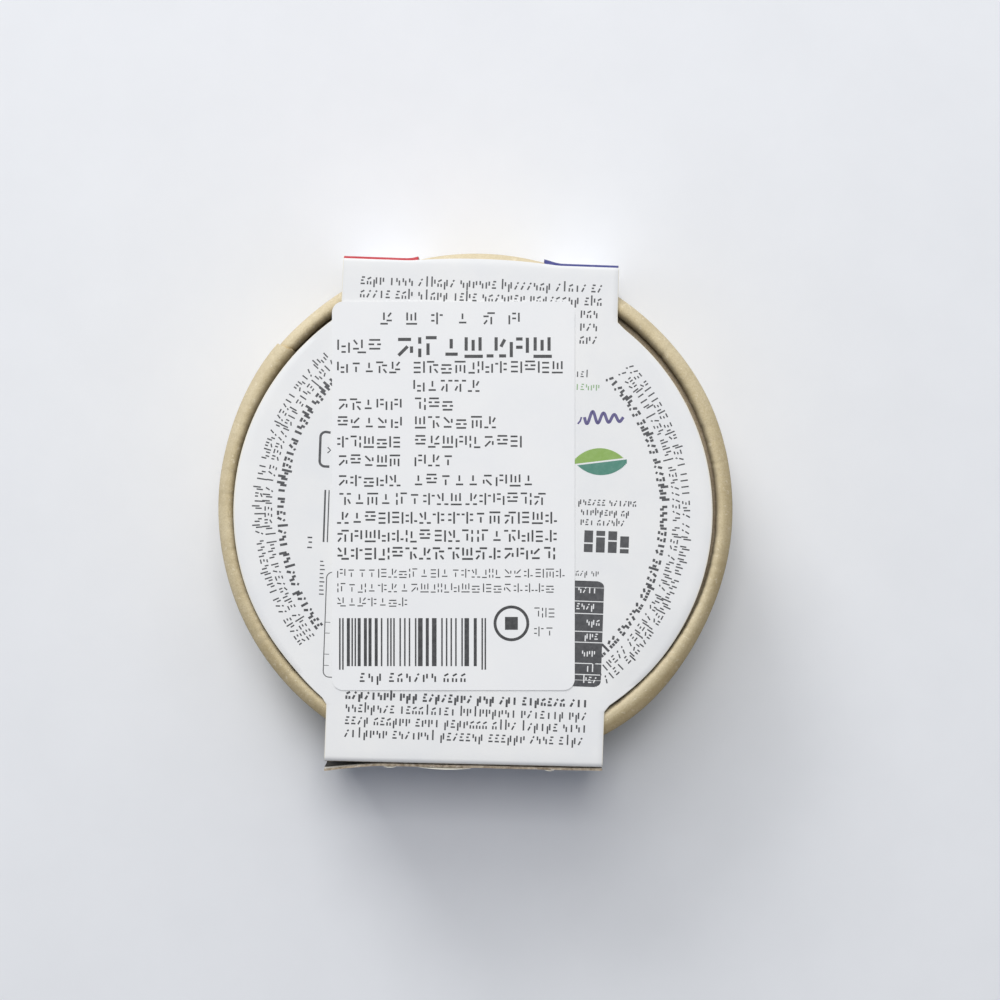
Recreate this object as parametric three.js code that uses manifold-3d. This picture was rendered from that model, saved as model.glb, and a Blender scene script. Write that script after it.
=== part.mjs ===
// A boxed wheel of soft cheese: the wheel in its pleated paper, a round board box whose two halves
// have rolled rims, a flat card sleeve that wraps the box and widens into a disc on both faces, and
// a paper label on the back. The pack lies on its front face, so the box's base is on top.
// Millimetres, +Z up, +Y towards the end where the rim shows through the sleeve. The origin is on
// the box's axis, in the plane that the pack rests on.
import * as THREE from 'three';
import { mergeVertices } from 'three/addons/utils/BufferGeometryUtils.js';
import Module from 'manifold-3d';

const wasm = await Module();
wasm.setup();

// ---- driving dimensions ----
const cheeseRadius = 40.6;
const cheeseHeight = 22.6;
const rindEdgeRadius = 3.2;
const rindBulge = 0.4;

const paperThickness = 0.3;
const wrapMouthRadius = 3;

const stripThickness = 0.6;
const panelThickness = 1;
const rimRadius = 1.6;
const rimTurnDegrees = 250;
const rimFlareHeight = 1.5;

const cardThickness = 0.4;
const foldRadius = 0.8;
const bandWidth = 47.2;
const discMargin = 3.1;
const discShift = -0.3;
const slotWidth = 21.6;
const rimReach = 1.7;
const glueFlapLength = 14;
const outerWallSetback = 0.7;
const endPress = 0.6;
const sleeveShift = -0.55;

const labelWidth = 41.4;
const labelHeight = 66.3;
const labelThickness = 0.12;
const labelCornerRadius = 1.9;
const labelCentre = [-3.87, 2.37];
const labelTurnDegrees = 2.05;

// ---- clearances ----
const rindGap = 0.2;
const contentsGap = 0.2;
const contentsSideGap = 1;
const seatGap = 0.15;
const lidSlideGap = 0.3;
const lidMouthGap = 0.5;
const cardLayerGap = 0.1;
const labelGap = 0.05;

// ---- facets ----
const roundSegments = 64;
const innerSegments = 48;
const rimArcSteps = 11;
const edgeArcSteps = 4;
const foldArcSteps = 4;

// ---- radii, from the wheel outwards ----
const wrapRadius = cheeseRadius + rindBulge + rindGap + paperThickness;
const baseWallInner = wrapRadius + contentsSideGap;
const baseWallOuter = baseWallInner + stripThickness;
const lidWallInner = baseWallOuter + lidSlideGap;
const boxRadius = lidWallInner + stripThickness;
const rimCentreRadius = boxRadius - rimRadius;

// ---- heights, from the resting plane upwards ----
const lidRimBottom = cardThickness + seatGap;
const lidRimCentre = lidRimBottom + rimRadius;
const lidPanelBottom = lidRimCentre + rimRadius + seatGap;
const lidPanelTop = lidPanelBottom + panelThickness;
const wrapBottom = lidPanelTop + contentsGap;
const cheeseBottom = wrapBottom + paperThickness + rindGap;
const cheeseTop = cheeseBottom + cheeseHeight;
const wrapTop = cheeseTop + rindGap + paperThickness;
const basePanelBottom = wrapTop + contentsGap;
const basePanelTop = basePanelBottom + panelThickness;
const baseRimCentre = basePanelTop + seatGap + rimRadius;
const baseRimTop = baseRimCentre + rimRadius;
const packTop = baseRimTop + seatGap + cardThickness;
const baseFlareBottom = baseRimCentre - rimRadius - rimFlareHeight / 2;
const lidWallTop = baseFlareBottom - lidMouthGap;

// ---- materials ----
const surface = (colour, roughness) =>
  new THREE.MeshStandardMaterial({ color: colour, roughness, metalness: 0 });

// ---- geometry helpers ----
const radians = THREE.MathUtils.degToRad;

function arc(centreX, centreY, radius, fromDegrees, toDegrees, steps) {
  return Array.from({ length: steps + 1 }, (_, i) => {
    const angle = radians(fromDegrees + ((toDegrees - fromDegrees) * i) / steps);
    return new THREE.Vector2(centreX + radius * Math.cos(angle), centreY + radius * Math.sin(angle));
  });
}

// Turns a (radius, height) outline about +Z.
function revolve(outline, segments) {
  const ordered = THREE.ShapeUtils.area(outline) < 0 ? [...outline].reverse() : [...outline];
  const geometry = new THREE.LatheGeometry(ordered, segments);
  return geometry.rotateX(Math.PI / 2);
}

// Turns a closed outline that doesn't reach the axis.
function revolveRing(outline, segments) {
  const ordered = THREE.ShapeUtils.area(outline) < 0 ? [...outline].reverse() : [...outline];
  return revolve([...ordered, ordered[0]], segments);
}

// The closed outline of a strip of even thickness along a centre line.
function stripOutline(centreLine, thickness) {
  const sideOf = (direction) =>
    centreLine.map((point, i) => {
      const before = centreLine[Math.max(i - 1, 0)];
      const after = centreLine[Math.min(i + 1, centreLine.length - 1)];
      const arriving = point.clone().sub(i > 0 ? before : point);
      const leaving = (i < centreLine.length - 1 ? after : point).clone().sub(point);
      const along = arriving.normalize().add(leaving.normalize()).normalize();
      const halfTurn = i > 0 && i < centreLine.length - 1 ? along.dot(leaving) : 1;
      const reach = (direction * thickness) / 2 / halfTurn;
      return new THREE.Vector2(point.x - along.y * reach, point.y + along.x * reach);
    });
  return [...sideOf(1), ...sideOf(-1).reverse()];
}

// Rounds each inner corner of an open centre line with a fold of the given radius.
function foldedLine(corners, radius, steps) {
  const line = [corners[0]];
  for (let i = 1; i < corners.length - 1; i += 1) {
    const inward = corners[i].clone().sub(corners[i - 1]).normalize();
    const outward = corners[i + 1].clone().sub(corners[i]).normalize();
    const turn = Math.sign(inward.cross(outward));
    const start = corners[i].clone().addScaledVector(inward, -radius);
    const centre = start.clone().add(new THREE.Vector2(-inward.y, inward.x).multiplyScalar(turn * radius));
    const from = THREE.MathUtils.radToDeg(Math.atan2(start.y - centre.y, start.x - centre.x));
    line.push(...arc(centre.x, centre.y, radius, from, from + turn * 90, steps));
  }
  return [...line, corners[corners.length - 1]];
}

function toSolid(geometry) {
  const bare = geometry.clone();
  bare.deleteAttribute('normal');
  bare.deleteAttribute('uv');
  const merged = mergeVertices(bare, 1e-4);
  return new wasm.Manifold(
    new wasm.Mesh({
      numProp: 3,
      vertProperties: new Float32Array(merged.attributes.position.array),
      triVerts: new Uint32Array(merged.index.array),
    }),
  );
}

function fromSolid(solid) {
  const mesh = solid.getMesh();
  const geometry = new THREE.BufferGeometry();
  geometry.setAttribute('position', new THREE.BufferAttribute(mesh.vertProperties, 3));
  geometry.setIndex(new THREE.BufferAttribute(mesh.triVerts, 1));
  geometry.computeVertexNormals();
  return geometry;
}

function namedMesh(name, geometry, material) {
  const mesh = new THREE.Mesh(geometry, material);
  mesh.name = name;
  return mesh;
}

// ---- the wheel: flat faces, round edges and a slightly bulged side ----
function cheeseWheel() {
  const edge = cheeseRadius - rindEdgeRadius;
  const lowerEdge = cheeseBottom + rindEdgeRadius;
  const upperEdge = cheeseTop - rindEdgeRadius;
  const profile = [
    new THREE.Vector2(0, cheeseBottom),
    ...arc(edge, lowerEdge, rindEdgeRadius, -90, 0, edgeArcSteps),
    new THREE.Vector2(cheeseRadius + rindBulge, (cheeseBottom + cheeseTop) / 2),
    ...arc(edge, upperEdge, rindEdgeRadius, 0, 90, edgeArcSteps),
    new THREE.Vector2(0, cheeseTop),
  ];
  return namedMesh('cheese_wheel', revolve(profile, innerSegments), surface('#efe9d8', 0.85));
}

// ---- the paper: a close shell, gathered round a small mouth on the base side ----
function innerWrap() {
  const corner = rindEdgeRadius + rindGap + paperThickness / 2;
  const radius = wrapRadius - paperThickness / 2;
  const low = wrapBottom + paperThickness / 2;
  const high = wrapTop - paperThickness / 2;
  const shellLine = [
    new THREE.Vector2(0, low),
    ...arc(radius - corner, low + corner, corner, -90, 0, edgeArcSteps),
    ...arc(radius - corner, high - corner, corner, 0, 90, edgeArcSteps),
    new THREE.Vector2(wrapMouthRadius, high),
  ];
  const outline = stripOutline(shellLine, paperThickness);
  return namedMesh('inner_wrap', revolve(outline, innerSegments), surface('#f4f2ea', 0.7));
}

// ---- the rolled rim: the strip turns over the top and back under itself, towards the panel ----
function rimTurn(centreHeight, upwards) {
  const side = upwards ? 1 : -1;
  const lineRadius = rimRadius - stripThickness / 2;
  const start = upwards ? -30 : 0;
  return arc(rimCentreRadius, centreHeight, lineRadius, side * start, side * rimTurnDegrees, rimArcSteps);
}

// The sleeve's wall at -Y is tight and presses the round box flat there.
function pressEnd(geometry) {
  const position = geometry.attributes.position;
  for (let i = 0; i < position.count; i += 1) {
    const across = Math.min(Math.abs(position.getX(i)), boxRadius);
    const press = Math.sqrt(boxRadius ** 2 - across ** 2) - (boxRadius - endPress);
    const isAtEnd = position.getY(i) < -boxRadius / 2;
    position.setY(i, position.getY(i) + (isAtEnd ? Math.max(0, press) : 0));
  }
  geometry.computeVertexNormals();
  return geometry;
}

function ringMesh(name, centreLine) {
  const outline = stripOutline(centreLine, stripThickness);
  const geometry = pressEnd(revolveRing(outline, roundSegments));
  return namedMesh(name, geometry, surface('#c0b08c', 0.8));
}

// The base's wall slides inside the lid and flares out to its rim, which is as wide as the lid.
function baseRing() {
  const wall = (baseWallInner + baseWallOuter) / 2;
  return ringMesh('base_ring', [
    new THREE.Vector2(wall, lidPanelTop + seatGap),
    new THREE.Vector2(wall, baseFlareBottom),
    ...rimTurn(baseRimCentre, true),
  ]);
}

function lidRing() {
  const wall = (lidWallInner + boxRadius) / 2;
  return ringMesh('lid_ring', [new THREE.Vector2(wall, lidWallTop), ...rimTurn(lidRimCentre, false)]);
}

// ---- the round board panels that the rims hold ----
function panelMesh(name, radius, bottom) {
  const disc = new THREE.CylinderGeometry(radius, radius, panelThickness, roundSegments);
  const mesh = namedMesh(name, pressEnd(disc.rotateX(Math.PI / 2)), surface('#b9a880', 0.85));
  mesh.position.z = bottom + panelThickness / 2;
  return mesh;
}

const basePanel = () => panelMesh('base_panel', baseWallInner - seatGap, basePanelBottom);
const lidPanel = () => panelMesh('lid_panel', lidWallInner - seatGap, lidPanelBottom);

// ---- the sleeve: one band of card around the box, widened into a disc on both faces ----
// Its wall at +Y is open in the middle, where the rims reach through, and the legs on both sides of
// that slot lean on the rims. At -Y the wall from the front covers a glue flap from the back.
const legInner = boxRadius - rimReach;
const legLine = legInner + cardThickness / 2;
const flapLine = -(boxRadius - endPress + seatGap + cardThickness / 2);
const outerWallLine = flapLine - cardThickness - cardLayerGap;
const backLine = packTop - cardThickness / 2;
const frontLine = cardThickness / 2;

function bandCentreLine() {
  const corners = [
    [flapLine, backLine - glueFlapLength],
    [flapLine, backLine],
    [legLine, backLine],
    [legLine, frontLine],
    [outerWallLine, frontLine],
    [outerWallLine, packTop - outerWallSetback],
  ];
  return foldedLine(corners.map(([y, z]) => new THREE.Vector2(y, z)), foldRadius, foldArcSteps);
}

// How far the rims push a leg outwards at x, in the sleeve's own frame.
function legPush(x) {
  const rimLine = boxRadius + seatGap;
  const across = Math.min(Math.abs(x + sleeveShift), rimLine);
  return Math.max(0, Math.sqrt(rimLine ** 2 - across ** 2) - legInner);
}

function bandGeometry() {
  const half = bandWidth / 2;
  const slotHalf = slotWidth / 2;
  const reach = Math.sqrt((boxRadius + seatGap) ** 2 - legInner ** 2);
  const bentEnd = (side) => Math.max(slotHalf + cardThickness, reach - side * sleeveShift);
  const stationsOn = (side) => [slotHalf, (slotHalf + bentEnd(side)) / 2, bentEnd(side), half];
  const stations = [...stationsOn(-1).reverse().map((x) => -x), ...stationsOn(1)];

  const shape = new THREE.Shape(stripOutline(bandCentreLine(), cardThickness));
  const steps = stations.length - 1;
  const geometry = new THREE.ExtrudeGeometry(shape, { depth: steps, steps, bevelEnabled: false });
  geometry.applyMatrix4(
    new THREE.Matrix4().makeBasis(
      new THREE.Vector3(0, 1, 0),
      new THREE.Vector3(0, 0, 1),
      new THREE.Vector3(1, 0, 0),
    ),
  );
  const position = geometry.attributes.position;
  const foldHeight = foldRadius + cardThickness / 2;
  for (let i = 0; i < position.count; i += 1) {
    const x = stations[Math.round(position.getX(i))];
    const z = position.getZ(i);
    const belowFold = Math.min(1, Math.min(z, packTop - z) / foldHeight);
    const isLeg = position.getY(i) > legInner - foldRadius;
    position.setX(i, x);
    position.setY(i, position.getY(i) + (isLeg ? legPush(x) * belowFold : 0));
  }
  return geometry;
}

function discGeometry(bottom) {
  const radius = boxRadius - discMargin;
  const geometry = new THREE.CylinderGeometry(radius, radius, cardThickness, roundSegments);
  return geometry.rotateX(Math.PI / 2).translate(0, discShift, bottom + cardThickness / 2);
}

// The slot's cut through the card, and a deeper cut between the two panels that clears what is left
// of the folds' inner curves from above the rims.
function slotCutter() {
  const depth = 4 * rimReach;
  const between = packTop - 2 * cardThickness;
  const slot = new THREE.BoxGeometry(slotWidth, depth, 2 * packTop);
  const relief = new THREE.BoxGeometry(slotWidth, depth, between);
  return [
    slot.translate(0, legInner - seatGap + depth / 2, packTop / 2),
    relief.translate(0, legLine - 2 * foldRadius + depth / 2, packTop / 2),
  ];
}

function sleeve() {
  const [slot, relief] = slotCutter().map(toSolid);
  const band = toSolid(bandGeometry())
    .add(toSolid(discGeometry(0)))
    .add(toSolid(discGeometry(packTop - cardThickness)))
    .subtract(slot)
    .subtract(relief);
  const mesh = namedMesh('sleeve', fromSolid(band), surface('#e9eaec', 0.45));
  mesh.position.x = sleeveShift;
  return mesh;
}

// ---- the paper label on the sleeve's back face ----
function backLabel() {
  const right = labelWidth / 2;
  const top = labelHeight / 2;
  const corner = labelCornerRadius;
  const shape = new THREE.Shape();
  shape.absarc(right - corner, top - corner, corner, 0, radians(90));
  shape.absarc(corner - right, top - corner, corner, radians(90), radians(180));
  shape.absarc(corner - right, corner - top, corner, radians(180), radians(270));
  shape.absarc(right - corner, corner - top, corner, radians(270), radians(360));
  const geometry = new THREE.ExtrudeGeometry(shape, {
    depth: labelThickness,
    curveSegments: edgeArcSteps,
    bevelEnabled: false,
  });
  const mesh = namedMesh('back_label', geometry, surface('#f2f3f4', 0.4));
  mesh.position.set(...labelCentre, packTop + labelGap);
  mesh.rotation.z = radians(labelTurnDegrees);
  return mesh;
}

const group = new THREE.Group();
group.add(
  cheeseWheel(),
  innerWrap(),
  baseRing(),
  basePanel(),
  lidRing(),
  lidPanel(),
  sleeve(),
  backLabel(),
);

export default group;
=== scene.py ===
"""The finished look of a boxed soft cheese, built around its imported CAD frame.

A round board box with rolled rims lies on its front face inside a folded card sleeve, with a paper
label on the back. Lengths are in metres, in the CAD frame: the box's axis is X = Y = 0.
"""
import math
import random

import bmesh
import bpy
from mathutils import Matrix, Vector, noise


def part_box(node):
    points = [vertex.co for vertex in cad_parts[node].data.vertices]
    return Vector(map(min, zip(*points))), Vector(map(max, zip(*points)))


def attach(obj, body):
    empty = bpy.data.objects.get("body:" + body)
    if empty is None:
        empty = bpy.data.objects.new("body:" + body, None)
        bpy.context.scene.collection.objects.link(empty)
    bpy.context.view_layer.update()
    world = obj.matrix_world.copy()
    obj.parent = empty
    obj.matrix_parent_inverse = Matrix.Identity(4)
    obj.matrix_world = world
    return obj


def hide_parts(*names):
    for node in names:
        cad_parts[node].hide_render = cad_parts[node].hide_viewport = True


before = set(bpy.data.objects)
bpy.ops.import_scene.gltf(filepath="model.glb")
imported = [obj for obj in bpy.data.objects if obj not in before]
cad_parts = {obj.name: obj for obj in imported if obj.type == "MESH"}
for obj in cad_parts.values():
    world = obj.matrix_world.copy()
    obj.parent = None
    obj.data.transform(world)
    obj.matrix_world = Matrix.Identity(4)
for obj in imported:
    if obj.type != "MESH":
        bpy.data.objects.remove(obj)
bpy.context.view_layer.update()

MM = 0.001
SEED = 7

# ---- sizes read from the frame ----
SLEEVE_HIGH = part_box("sleeve")[1]
BASE_LOW, BASE_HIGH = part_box("base_ring")
LID_LOW, LID_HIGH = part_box("lid_ring")
PACK_TOP = SLEEVE_HIGH[2]
BOX_RADIUS = BASE_HIGH[0]
RIM_TOP = BASE_HIGH[2]

# ---- the card and board, after the CAD source, with a few sizes set finer ----
CARD = 0.4 * MM
FOLD_RADIUS = 0.8 * MM
SEAT_GAP = 0.15 * MM
BAND_WIDTH = 47.3 * MM
BAND_TAPER = 0.002
SLOT_WIDTH = 21.6 * MM
RIM_REACH = 1.7 * MM
FLAP_LENGTH = 14 * MM
WALL_SETBACK = 0.7 * MM
SLEEVE_SHIFT = -0.55 * MM
END_PRESS = 1.0 * MM
END_SKEW = 0.0128
DISC_SHIFT = -0.3 * MM
DISC_RADIUS = BOX_RADIUS - 3.1 * MM
DISC_FLATNESS = 1.025
DISC_OFFSET = 0.12 * MM
STRIP = 0.6 * MM
RING_GAP = 0.3 * MM
RIM_RADIUS = 1.6 * MM
RIM_TURN = 250
LABEL_SIZE = (41.4 * MM, 66.3 * MM)
LABEL_CENTRE = (-3.87 * MM, 2.37 * MM)
LABEL_TURN = math.radians(2.05)
LABEL_CORNER = 1.9 * MM
LABEL_THICKNESS = 0.12 * MM
LABEL_GAP = 0.05 * MM


# ---------------------------------------------------------------- small helpers
def clamp(value, low=0.0, high=1.0):
    return max(low, min(high, value))


def smooth(value):
    t = clamp(value)
    return t * t * (3 - 2 * t)


def spread(low, high, steps):
    return [low + (high - low) * i / steps for i in range(steps + 1)]


def arc(centre, radius, start, end, steps):
    """Points on an arc, in degrees, as (first, second) coordinates."""
    return [
        (centre[0] + radius * math.cos(math.radians(a)), centre[1] + radius * math.sin(math.radians(a)))
        for a in spread(start, end, steps)
    ]


def bell(value):
    """1 at zero, falling smoothly to nothing at about 2 on each side."""
    return math.exp(-(value**2))


def degrees_from(angle, centre):
    """How far an angle in radians lies from a centre in degrees, from -180 to 180."""
    return (math.degrees(angle) - centre + 180) % 360 - 180


def bumps(x, y, z=0.0):
    """Smooth noise from -1 to 1 that repeats each run."""
    return noise.noise(Vector((x, y, z)))


def add_object(name, data):
    made = bpy.data.objects.new(name, data)
    bpy.context.scene.collection.objects.link(made)
    return made


# ---------------------------------------------------------------- materials
BLACK, WHITE = (0, 0, 0), (1, 1, 1)
MIX_FIRST, MIX_SECOND, MIX_RESULT = 6, 7, 2  # the mix node's colour sockets
# The bearing away from the key light: the strip's painted shade falls on roll slopes turned towards it. The
# next pair is the radii over which that painted shade passes from the roll's inner slope to its outer
# slope.
SHADED_SIDE = math.radians(-65)
ROLL_CREST = (41.5 * MM, 43.1 * MM)


class Look:
    """A node material with a Principled surface and texture coordinates in metres."""

    def __init__(self, name, colour, roughness):
        self.material = bpy.data.materials.new(name)
        self.material.use_nodes = True
        self.nodes = self.material.node_tree.nodes
        self.surface = self.nodes["Principled BSDF"]
        self.place = self.node("ShaderNodeTexCoord", {}).outputs["Object"]
        self.set({"Base Color": colour, "Roughness": roughness})

    def fill(self, node, values):
        """Links or sets a node's inputs: a value is an output socket, a number or a tuple."""
        for key, value in values.items():
            socket = node.inputs[key]
            if isinstance(value, bpy.types.NodeSocket):
                self.material.node_tree.links.new(value, socket)
            else:
                socket.default_value = (*value, 1) if socket.type == "RGBA" else value

    def set(self, values):
        self.fill(self.surface, values)

    def node(self, kind, values, **settings):
        made = self.nodes.new(kind)
        for key, value in settings.items():
            setattr(made, key, value)
        self.fill(made, values)
        return made

    def noise(self, scale, detail=4, stretch=(1, 1, 1), rough=0.6):
        mapping = self.node("ShaderNodeMapping", {"Vector": self.place, "Scale": stretch})
        values = {"Vector": mapping.outputs["Vector"], "Scale": scale, "Detail": detail, "Roughness": rough}
        return self.node("ShaderNodeTexNoise", values).outputs["Fac"]

    def ramp(self, source, *stops):
        """A colour ramp through (position, colour) stops."""
        node = self.node("ShaderNodeValToRGB", {"Fac": source})
        ramp = node.color_ramp
        while len(ramp.elements) < len(stops):
            ramp.elements.new(0.5)
        for element, (position, colour) in zip(ramp.elements, stops):
            element.position = position
            element.color = (*colour, 1)
        return node.outputs["Color"]

    def mask(self, source, low, high):
        return self.ramp(source, (low, BLACK), (high, WHITE))

    def mix(self, factor, first, second, amount):
        """Second over first where factor is high, up to amount."""
        strength = self.node("ShaderNodeMath", {0: factor, 1: amount}, operation="MULTIPLY").outputs[0]
        values = {"Factor": strength, MIX_FIRST: first, MIX_SECOND: second}
        return self.node("ShaderNodeMix", values, data_type="RGBA").outputs[MIX_RESULT]

    def scaled(self, source, given, wanted=(0, 1)):
        """A value taken from one (low, high) range to another."""
        limits = zip(("From Min", "From Max", "To Min", "To Max"), (*given, *wanted))
        return self.node("ShaderNodeMapRange", {"Value": source, **dict(limits)}).outputs["Result"]

    def roughen(self, source, low, high):
        self.set({"Roughness": self.scaled(source, (0, 1), (low, high))})

    def bump(self, distance, *heights):
        """Bumps from several (height, strength) pairs, one on another."""
        values = {"Distance": distance}
        for height, strength in heights:
            values = {**values, "Height": height, "Strength": strength}
            values["Normal"] = self.node("ShaderNodeBump", values).outputs["Normal"]
        self.set({"Normal": values["Normal"]})

    def slope(self, turned_away):
        """With 1, 0 to 1 on the top roll's slopes turned away from the key light, the mask of painted
        shade; with -1, on those turned towards it, the mask of a painted highlight.
        """
        parts = self.node("ShaderNodeSeparateXYZ", {0: self.place}).outputs
        flat = self.node("ShaderNodeCombineXYZ", {"X": parts["X"], "Y": parts["Y"]}).outputs[0]
        reach = self.node("ShaderNodeVectorMath", {0: flat}, operation="LENGTH").outputs["Value"]
        outer = self.scaled(reach, ROLL_CREST, (-1, 1))
        strength = turned_away / BOX_RADIUS
        towards = (strength * math.cos(SHADED_SIDE), strength * math.sin(SHADED_SIDE), 0)
        side = self.node("ShaderNodeVectorMath", {0: self.place, 1: towards}, operation="DOT_PRODUCT")
        values = {0: outer, 1: side.outputs["Value"], 2: 0.1}
        shade = self.node("ShaderNodeMath", values, operation="MULTIPLY_ADD", use_clamp=True)
        above = self.scaled(parts["Z"], (RIM_TOP - 3 * MM, RIM_TOP - 1.3 * MM))
        return self.node("ShaderNodeMath", {0: shade.outputs[0], 1: above}, operation="MULTIPLY").outputs[0]


def toned(colour, factors):
    return tuple(min(1.0, c * f) for c, f in zip(colour, factors))


def kraft_board(name, dark, middle, light, painted_shade_strength=0.0):
    """Uncoated board: cloudy colour with pale fibres and scuffs, and dark grit and flecks. With a last
    argument above 0, the top roll also gets painted shade, a darker brown on slopes turned away from the
    key light, and a painted highlight, the pale colour on slopes turned towards it.
    """
    look = Look(name, middle, 0.85)
    clouds, fibres = look.noise(160, 5), look.noise(1700, 6, (1, 1, 0.35), 0.75)
    pale = toned(light, (1.16, 1.2, 1.35))
    shade = look.ramp(clouds, (0.15, dark), (0.5, middle), (0.85, light))
    for texture, low, high, colour, amount in [
        (fibres, 0.42, 0.58, light, 0.35),
        (look.noise(3400, 2), 0.46, 0.62, dark, 0.42),
        (look.noise(1500, 2, (1, 1, 0.5)), 0.62, 0.7, pale, 0.55),
        (look.noise(2600, 3), 0.66, 0.74, dark, 0.55),
    ]:
        shade = look.mix(look.mask(texture, low, high), shade, colour, amount)
    # Painted shade and a painted highlight on the top roll: darker brown on slopes turned away from the key
    # light, the pale colour on slopes turned towards it.
    if painted_shade_strength:
        shade = look.mix(look.slope(1), shade, toned(dark, (0.5, 0.42, 0.3)), painted_shade_strength)
        shade = look.mix(look.slope(-1), shade, pale, 0.32)
    look.set({"Base Color": shade, "Specular IOR Level": 0.35})
    look.roughen(clouds, 0.74, 0.92)
    look.bump(0.12 * MM, (clouds, 0.25), (fibres, 0.35))
    return look.material


def coated_card(name, colour, roughness, mottle=0.03):
    """Smooth coated card or label paper: nearly even white with a faint press mottle."""
    look = Look(name, colour, roughness)
    clouds, grain = look.noise(90), look.noise(1400)
    tint = tuple(c * (1 - mottle) for c in colour)
    warm = tuple(c * (1 + mottle * w) for c, w in zip(colour, (0.6, 0.3, -0.3)))
    look.set({"Base Color": look.ramp(clouds, (0.35, tint), (0.65, warm)), "Specular IOR Level": 0.3})
    look.roughen(grain, roughness - 0.07, roughness + 0.1)
    look.bump(0.05 * MM, (clouds, 0.08), (grain, 0.1))
    return look.material


def card_core(name):
    """The cut edge of the card: grey-brown pulp between two pale skins, with white fibres. The sleeve also
    lays it on the flap's outer face and the start of its fold, as painted shade in the gap behind the outer
    wall.
    """
    look = Look(name, (0.4, 0.34, 0.26), 0.95)
    pulp, fibres = look.noise(1200, 5), look.noise(2600, 3, (0.4, 1, 1))
    base = look.ramp(pulp, (0.35, (0.2, 0.15, 0.1)), (0.65, (0.5, 0.42, 0.32)))
    look.set({"Base Color": look.mix(look.mask(fibres, 0.6, 0.7), base, (0.8, 0.78, 0.74), 0.8)})
    look.bump(0.1 * MM, (pulp, 0.6))
    return look.material


def printed(name, colour, roughness=0.42):
    """Printing ink with the slight unevenness of a press."""
    look = Look(name, colour, roughness)
    press = look.noise(1100)
    thin = tuple(min(1.0, c + 0.05) for c in colour)
    look.set({"Base Color": look.ramp(press, (0.4, colour), (0.75, thin))})
    look.roughen(press, roughness - 0.06, roughness + 0.1)
    return look.material


def bloomy_rind():
    """White mould over a cream cheese: velvety, with cream showing through in patches."""
    look = Look("bloomy_rind", (0.86, 0.84, 0.76), 0.95)
    patches, velvet = look.noise(110, 6), look.noise(1500, 5)
    tones = [(0.35, (0.74, 0.64, 0.42)), (0.5, (0.87, 0.83, 0.71)), (0.62, (0.92, 0.91, 0.86))]
    look.set({
        "Base Color": look.ramp(patches, *tones),
        "Subsurface Weight": 0.15,
        "Subsurface Radius": (0.002, 0.0015, 0.001),
        "Subsurface Scale": 0.5,
        "Sheen Weight": 0.4,
    })
    look.roughen(velvet, 0.85, 1.0)
    look.bump(0.2 * MM, (patches, 0.5), (velvet, 0.4))
    return look.material


def waxed_paper():
    look = Look("waxed_paper", (0.88, 0.87, 0.83), 0.5)
    clouds = look.noise(200)
    base = look.ramp(clouds, (0.35, (0.82, 0.8, 0.73)), (0.65, (0.92, 0.91, 0.88)))
    look.set({"Base Color": base, "Coat Weight": 0.2})
    look.roughen(clouds, 0.38, 0.6)
    look.bump(0.1 * MM, (clouds, 0.3))
    return look.material


def plain_floor():
    look = Look("floor_surface", (0.8, 0.81, 0.83), 0.7)
    grain = look.noise(60, 3)
    look.set({"Base Color": look.ramp(grain, (0.3, (0.79, 0.8, 0.82)), (0.7, (0.81, 0.82, 0.84)))})
    return look.material


# The strip board's last argument sets the strength of the painted shade and painted highlight on its top
# roll.
STRIP_BOARD = kraft_board("strip_board", (0.45, 0.355, 0.19), (0.59, 0.49, 0.3), (0.7, 0.6, 0.4), 0.5)
PANEL_BOARD = kraft_board("panel_board", (0.3, 0.23, 0.14), (0.45, 0.36, 0.24), (0.58, 0.49, 0.36))
CARD_WHITE = coated_card("card_white", (0.81, 0.812, 0.812), 0.52)
CARD_BACK = kraft_board("card_back", (0.5, 0.47, 0.4), (0.62, 0.6, 0.54), (0.7, 0.68, 0.63))
CARD_CORE = card_core("card_core")
CARD_SKIN = coated_card("card_skin", (0.82, 0.79, 0.7), 0.7)
LABEL_WHITE = coated_card("label_white", (0.83, 0.83, 0.83), 0.5, 0.015)
RED_PRINT = printed("red_print", (0.5, 0.02, 0.03))
BLUE_PRINT = printed("blue_print", (0.03, 0.035, 0.2))
# A near-black that stands for the shade deep in the gap behind the sleeve's outer wall: painted shade.
SHADE_BLACK = printed("painted_shade_black", (0.022, 0.02, 0.022))
BLACK_INK = printed("black_ink", (0.012, 0.013, 0.015))
GREY_INK = printed("grey_ink", (0.035, 0.036, 0.04))
GREEN_INK = printed("green_ink", (0.24, 0.4, 0.19))
LEAF_INK = printed("leaf_ink", (0.22, 0.38, 0.06))
TEAL_INK = printed("teal_ink", (0.035, 0.2, 0.14))
PURPLE_INK = printed("purple_ink", (0.075, 0.06, 0.2))
RIND = bloomy_rind()
WRAP_PAPER = waxed_paper()


# ---------------------------------------------------------------- mesh builders
def finish_piece(name, vertices, faces, materials, slots=None, sharp=40):
    mesh = bpy.data.meshes.new(name)
    mesh.from_pydata(vertices, [], faces)
    for made in materials:
        mesh.materials.append(made)
    if slots:
        mesh.polygons.foreach_set("material_index", slots)
    mesh.polygons.foreach_set("use_smooth", [True] * len(mesh.polygons))
    mesh.set_sharp_from_angle(angle=math.radians(sharp))
    mesh.update()
    piece = add_object(name, mesh)
    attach(piece, "root")
    return piece


def stand_in(node):
    """Hides the CAD node, whose place the finished piece takes."""
    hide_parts(node)


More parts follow.
